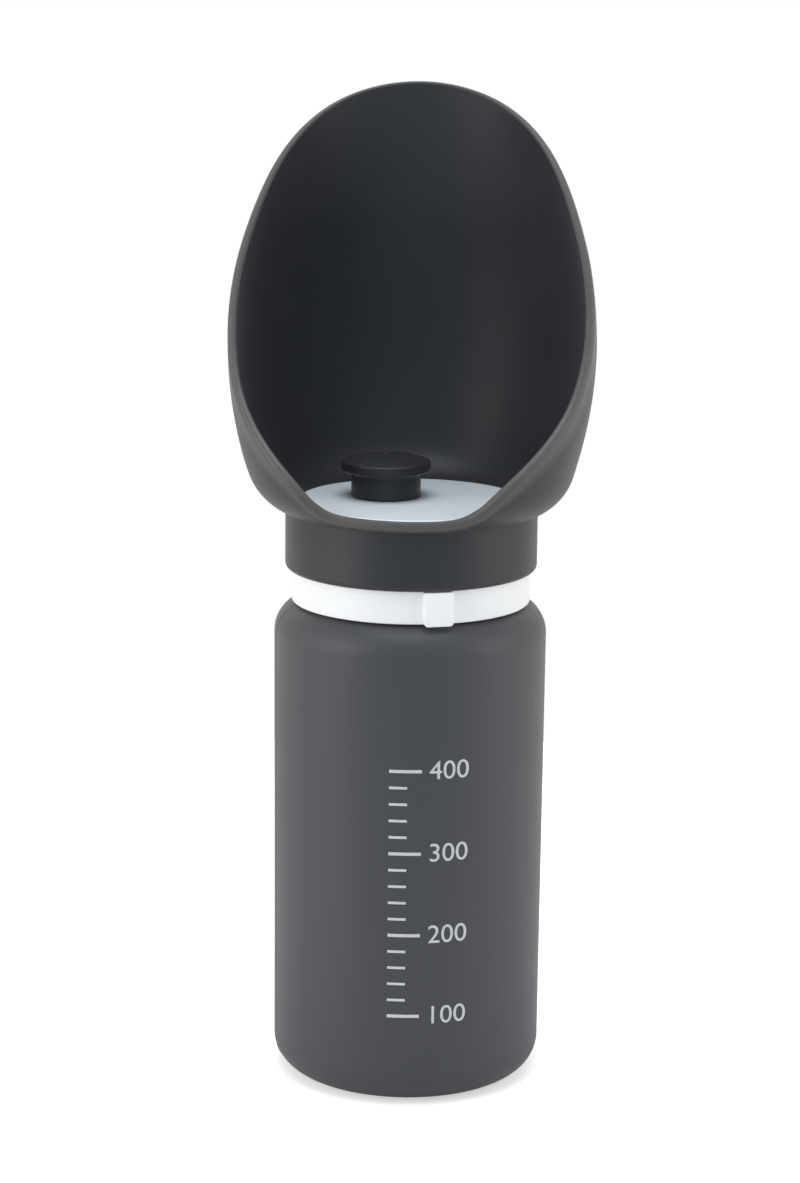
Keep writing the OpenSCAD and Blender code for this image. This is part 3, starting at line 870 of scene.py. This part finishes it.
class WATERBOTTLE_OT_scale(Operator):
    """Print a plain graduated scale on the bottle's front"""
    bl_idname = "waterbottle.scale"
    bl_label = "Printed scale"

    def execute(self, context):
        size = context.scene.water_bottle.scale
        radius, ahead, half_width, figure_gap = BOTTLE_HIGH.x, 10 * MM, 11 * MM, 2 * MM
        front = -radius - ahead
        left = radius * sin(size.side_angle) - half_width
        numbers, ticks_each, number_step = 4, 5, 100
        marks = []
        for step in range((numbers - 1) * ticks_each + 1):
            long = step % ticks_each == 0
            reach = size.long_tick if long else size.short_tick
            z = size.low_mark + size.mark_step * step / ticks_each
            bpy.ops.object.select_all(action='DESELECT')
            bpy.ops.mesh.primitive_grid_add(x_subdivisions=8, y_subdivisions=1, size=1,
                                            location=(left + reach / 2, front, z), rotation=(pi / 2, 0, 0))
            tick = bpy.context.object
            tick.scale = (reach, size.tick_height * (1 if long else 0.8), 1)
            marks.append(tick)
            if long:
                bpy.ops.object.select_all(action='DESELECT')
                bpy.ops.object.text_add(location=(left + reach + figure_gap, front, z),
                                        rotation=(pi / 2, 0, 0))
                figure = bpy.context.object
                figure.data.body = str(number_step * (1 + step // ticks_each))
                figure.data.size = size.figure_height
                figure.data.align_y = 'CENTER'
                activate(figure)
                bpy.ops.object.convert(target='MESH')
                figure = bpy.context.object
                with editing(figure):
                    bpy.ops.mesh.select_all(action='SELECT')
                    bpy.ops.mesh.remove_doubles(threshold=0.001 * MM)
                    bpy.ops.mesh.quads_convert_to_tris()
                    bpy.ops.mesh.subdivide(number_cuts=2)
                marks.append(figure)
        activate(marks[0], *marks)
        bpy.ops.object.transform_apply(location=True, rotation=True, scale=True)
        bpy.ops.object.join()
        printed = bpy.context.object
        printed.name = printed.data.name = "printed_scale"
        wrap = printed.modifiers.new("wrap", 'SHRINKWRAP')
        wrap.target = bpy.data.objects["bottle_body"]
        wrap.wrap_method = 'PROJECT'
        wrap.use_project_x, wrap.use_project_y, wrap.use_project_z = False, True, False
        wrap.use_positive_direction, wrap.use_negative_direction = True, True
        wrap.offset = 0.02 * MM
        bpy.ops.object.modifier_apply(modifier=wrap.name)
        thick = printed.modifiers.new("ink", 'SOLIDIFY')
        thick.thickness, thick.offset = size.ink, 1
        bpy.ops.object.modifier_apply(modifier=thick.name)
        with editing(printed):
            bpy.ops.mesh.select_all(action='SELECT')
            bpy.ops.mesh.normals_make_consistent(inside=False)
        settle(printed, "bottle", "cap_white", pad_printed_ink(context.scene.water_bottle.finish.ink))
        return {'FINISHED'}


# ---- stage ----

PHOTO = (800, 1183)                  # pixels
CAMERA_AT = (0, -879.5 * MM, 334.7 * MM)
PITCH = 0.218008                     # downwards
ROLL = 0.011861
FOCAL = 3184.06                      # pixels
AXIS_AT = 410.65                     # the column that the camera's middle falls on
SENSOR = 36.0

FLOOR_RADIUS = 0.36
FLOOR_GLOW = 0.5
BEHIND_CAMERA = (0.46, 0.52, 0.57, 1)
BEHIND_BOTTLE = (0.88, 0.88, 0.87, 1)
AIM = (0, 0, 0.14)                   # the place that the softboxes are turned to
# Name, place, width and height, power in watts, colour
SOFTBOXES = (("softbox_left", (-1.35, -0.7, 0.5), (1.0, 1.4), 11.0, "#fffdfa"),
             ("softbox_right", (1.4, -0.4, 0.5), (1.0, 1.4), 7.0, "#fffdfa"),
             ("softbox_top", (0.0, -0.2, 1.5), (0.9, 0.9), 9.5, "#f2f8ff"))


class WATERBOTTLE_OT_stage(Operator):
    """Lay the pale floor, light it softly, and set the camera"""
    bl_idname = "waterbottle.stage"
    bl_label = "Stage"

    def execute(self, context):
        self.floor(context)
        self.world(context)
        for box in SOFTBOXES:
            self.softbox(*box)
        self.camera(context)
        context.scene.view_settings.view_transform = 'Standard'
        return {'FINISHED'}

    def floor(self, context):
        """A disc of matt white paper: it takes a soft shadow, and is lit up to meet the white background."""
        bpy.ops.object.select_all(action='DESELECT')
        bpy.ops.mesh.primitive_circle_add(vertices=96, radius=FLOOR_RADIUS, fill_type='NGON')
        floor = bpy.context.object
        floor.name = "stage_floor"
        surface = bpy.data.materials.new("matt_white_paper")
        surface.use_nodes = True
        tree = surface.node_tree
        tree.nodes.clear()
        seen = add(tree, 'ShaderNodeLightPath').outputs['Is Camera Ray']
        paper = add(tree, 'ShaderNodeBsdfDiffuse', {'Color': rgba(context.scene.water_bottle.finish.floor)})
        glow = add(tree, 'ShaderNodeMath', {0: seen, 1: FLOOR_GLOW}, operation='MULTIPLY')
        light = add(tree, 'ShaderNodeEmission', {'Color': (1, 1, 1, 1), 'Strength': glow.outputs['Value']})
        both = add(tree, 'ShaderNodeAddShader', {0: paper.outputs['BSDF'], 1: light.outputs['Emission']})
        add(tree, 'ShaderNodeOutputMaterial', {'Surface': both.outputs['Shader']})
        floor.data.materials.append(surface)

    def world(self, context):
        """A white room that is dimmer where the camera stands."""
        world = bpy.data.worlds.new("white_room")
        context.scene.world = world
        world.use_nodes = True
        tree = world.node_tree
        tree.nodes.clear()
        way = add(tree, 'ShaderNodeTexCoord').outputs['Generated']
        back = add(tree, 'ShaderNodeSeparateXYZ', {'Vector': way}).outputs['Y']
        level = add(tree, 'ShaderNodeMapRange',
                    {'Value': back, 'From Min': -0.95, 'From Max': 0.35}, interpolation_type='SMOOTHSTEP')
        shades = add(tree, 'ShaderNodeMix', {0: level.outputs['Result'], 6: BEHIND_CAMERA, 7: BEHIND_BOTTLE},
                     data_type='RGBA')
        room = add(tree, 'ShaderNodeBackground', {'Color': shades.outputs[2], 'Strength': 1.0})
        white = add(tree, 'ShaderNodeBackground', {'Color': (1, 1, 1, 1), 'Strength': 1.0})
        seen = add(tree, 'ShaderNodeLightPath').outputs['Is Camera Ray']
        both = add(tree, 'ShaderNodeMixShader', {0: seen, 1: room.outputs['Background'],
                                                 2: white.outputs['Background']})
        add(tree, 'ShaderNodeOutputWorld', {'Surface': both.outputs['Shader']})

    def softbox(self, name, place, size, energy, shade):
        bpy.ops.object.light_add(type='AREA', location=place)
        box = bpy.context.object
        box.name = name
        box.data.shape = 'RECTANGLE'
        box.data.size, box.data.size_y = size
        box.data.energy = energy
        box.data.color = linear(shade)
        aim = Vector(AIM) - Vector(place)
        box.rotation_euler = aim.to_track_quat('-Z', 'Y').to_euler()

    def camera(self, context):
        bpy.ops.object.camera_add()
        camera = bpy.context.object
        camera.name = "photo_camera"
        camera.data.sensor_fit = 'AUTO'
        camera.data.sensor_width = SENSOR
        camera.data.lens = FOCAL * SENSOR / PHOTO[1]
        right = Vector((1, 0, 0))
        ahead = Vector((0, cos(PITCH), -sin(PITCH)))
        up = Vector((0, sin(PITCH), cos(PITCH)))
        across, upright = right * cos(ROLL) + up * sin(ROLL), up * cos(ROLL) - right * sin(ROLL)
        pose = Matrix((across, upright, -ahead)).transposed()
        yaw = Matrix.Rotation(atan2(AXIS_AT - PHOTO[0] / 2, FOCAL), 3, 'Y')
        camera.matrix_world = Matrix.Translation(CAMERA_AT) @ (pose @ yaw).to_4x4()
        context.scene.camera = camera


class WATERBOTTLE_PT_panel(Panel):
    """Sizes, colours and buttons of the water bottle"""
    bl_idname = "WATERBOTTLE_PT_panel"
    bl_label = "Water bottle"
    bl_space_type = 'VIEW_3D'
    bl_region_type = 'UI'
    bl_category = "Water bottle"

    def draw(self, context):
        whole = context.scene.water_bottle
        for step in STEPS:
            self.layout.operator(step.bl_idname)
        for name in whole.bl_rna.properties.keys():
            if name in ("rna_type", "name"):
                continue
            box = self.layout.box()
            box.label(text=name.capitalize())
            part = getattr(whole, name)
            for key in part.bl_rna.properties.keys():
                if key not in ("rna_type", "name"):
                    box.prop(part, key)


STEPS = (WATERBOTTLE_OT_stage, WATERBOTTLE_OT_bottle, WATERBOTTLE_OT_screw_cap, WATERBOTTLE_OT_outlet_plate,
         WATERBOTTLE_OT_seals, WATERBOTTLE_OT_stopper, WATERBOTTLE_OT_bowl, WATERBOTTLE_OT_scale)
CLASSES = (BottleSizes, ScaleSizes, CapSizes, StopperSizes, BowlSizes, Finishes, WaterBottle,
           *STEPS, WATERBOTTLE_PT_panel)


def register():
    for each in CLASSES:
        bpy.utils.register_class(each)
    bpy.types.Scene.water_bottle = PointerProperty(type=WaterBottle)


def unregister():
    del bpy.types.Scene.water_bottle
    for each in reversed(CLASSES):
        bpy.utils.unregister_class(each)


def main():
    register()
    for step in STEPS:
        group, name = step.bl_idname.split(".")
        getattr(getattr(bpy.ops, group), name)()


if __name__ == "__main__":
    main()
